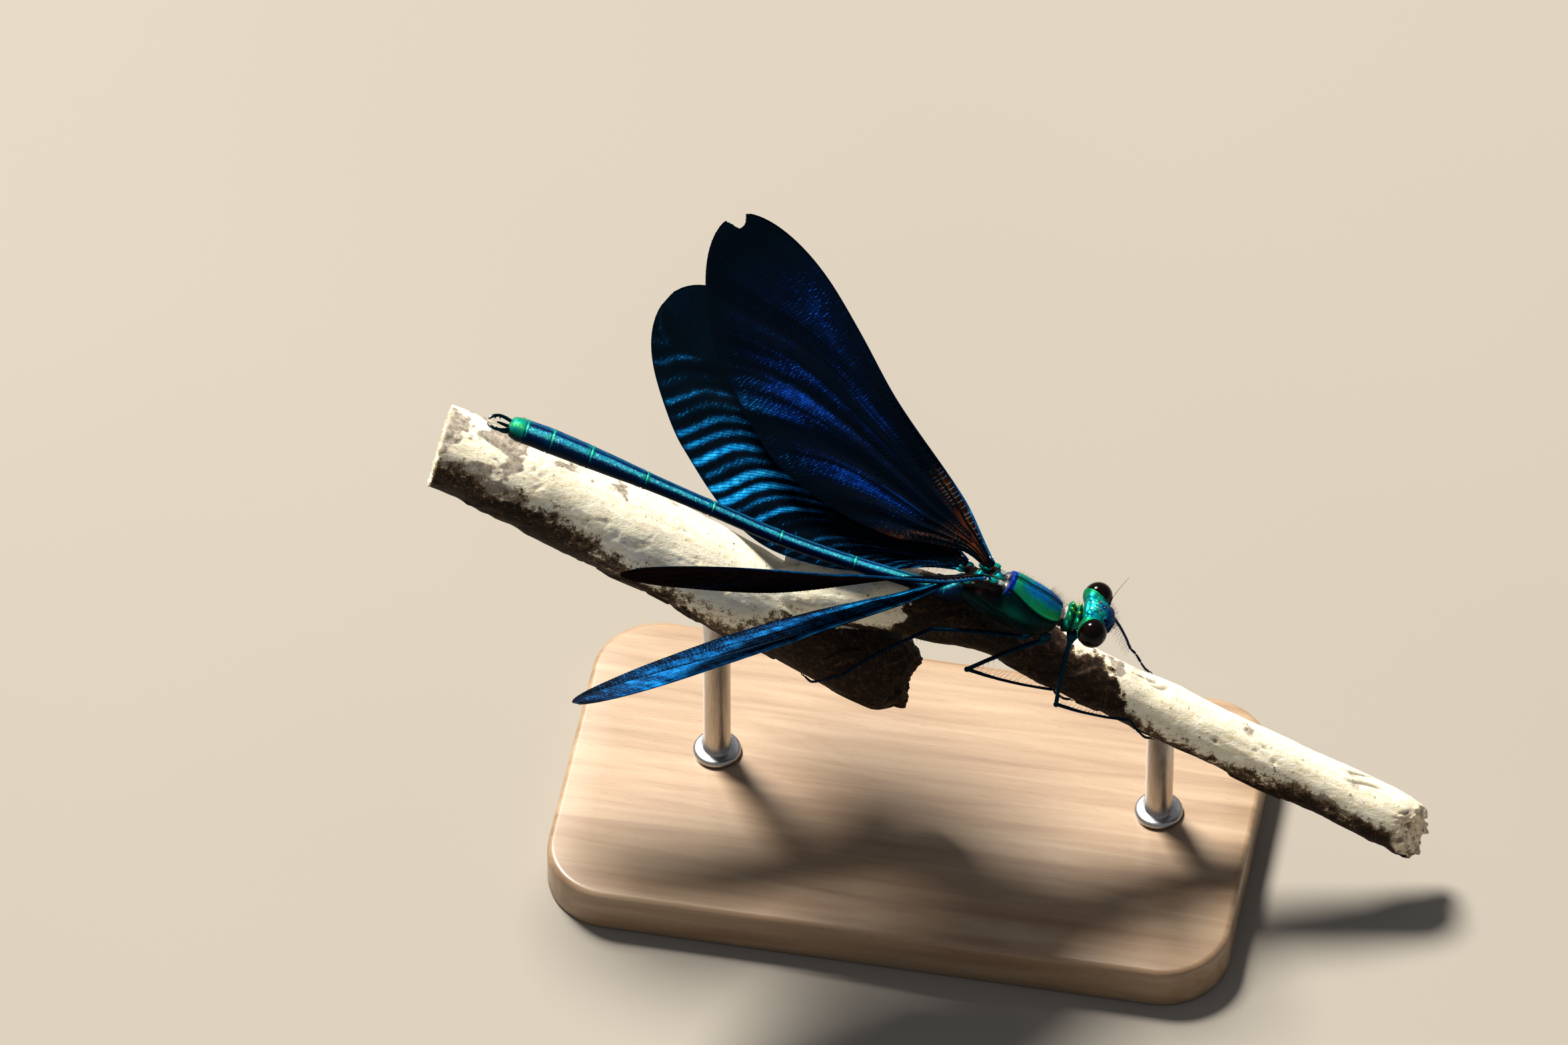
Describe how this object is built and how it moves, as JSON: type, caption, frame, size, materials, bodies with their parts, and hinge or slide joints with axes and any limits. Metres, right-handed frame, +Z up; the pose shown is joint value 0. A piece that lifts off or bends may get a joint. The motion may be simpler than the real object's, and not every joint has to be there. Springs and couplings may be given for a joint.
{
  "type": "demoiselle damselfly",
  "caption": "Life-size still model of a male demoiselle damselfly with half-open dark wings, gripping a cut forked twig held up by a plain display stand.",
  "frame": {"origin": "middle of the model's footprint, on the surface that the stand stands on", "axes": "+X the way the insect heads, +Y its left, +Z up"},
  "size_m": [0.0726, 0.0384, 0.0437],
  "materials": {
    "green_cuticle": "metallic green to blue insect cuticle, finely ribbed, glossy",
    "blue_cuticle": "metallic blue insect cuticle with a cyan gloss",
    "dark_cuticle": "blue-black satin cuticle",
    "eye": "glossy black-brown compound eye",
    "wing": "dark blue veined membrane with a blue sheen",
    "twig_wood": "bleached dead wood with dark bark remains, rough",
    "stand_wood": "planed beech, satin",
    "stand_steel": "brushed"
  },
  "bodies": {
    "root": {"head": "green_cuticle", "prothorax": "green_cuticle", "synthorax": "green_cuticle", "abdomen_s10": "green_cuticle", "abdomen_s1": "blue_cuticle", "abdomen_s2": "blue_cuticle", "abdomen_s3": "blue_cuticle", "abdomen_s4": "blue_cuticle", "abdomen_s5": "blue_cuticle", "abdomen_s6": "blue_cuticle", "abdomen_s7": "blue_cuticle", "abdomen_s8": "blue_cuticle", "abdomen_s9": "blue_cuticle", "mouth": "dark_cuticle", "neck": "dark_cuticle", "eye_left": "eye", "antenna_left": "dark_cuticle", "cercus_left": "dark_cuticle", "wing_fore_left": "wing", "wing_hind_left": "wing", "femur_fore_left": "dark_cuticle", "tibia_fore_left": "dark_cuticle", "tarsus_fore_left": "dark_cuticle", "femur_mid_left": "dark_cuticle", "tibia_mid_left": "dark_cuticle", "tarsus_mid_left": "dark_cuticle", "femur_hind_left": "dark_cuticle", "tibia_hind_left": "dark_cuticle", "tarsus_hind_left": "dark_cuticle", "eye_right": "eye", "antenna_right": "dark_cuticle", "cercus_right": "dark_cuticle", "wing_fore_right": "wing", "wing_hind_right": "wing", "femur_fore_right": "dark_cuticle", "tibia_fore_right": "dark_cuticle", "tarsus_fore_right": "dark_cuticle", "femur_mid_right": "dark_cuticle", "tibia_mid_right": "dark_cuticle", "tarsus_mid_right": "dark_cuticle", "femur_hind_right": "dark_cuticle", "tibia_hind_right": "dark_cuticle", "tarsus_hind_right": "dark_cuticle", "perch": "twig_wood", "stand_base": "stand_wood", "stand_rod_rear": "stand_steel", "stand_rod_front": "stand_steel"}
  },
  "joints": []
}
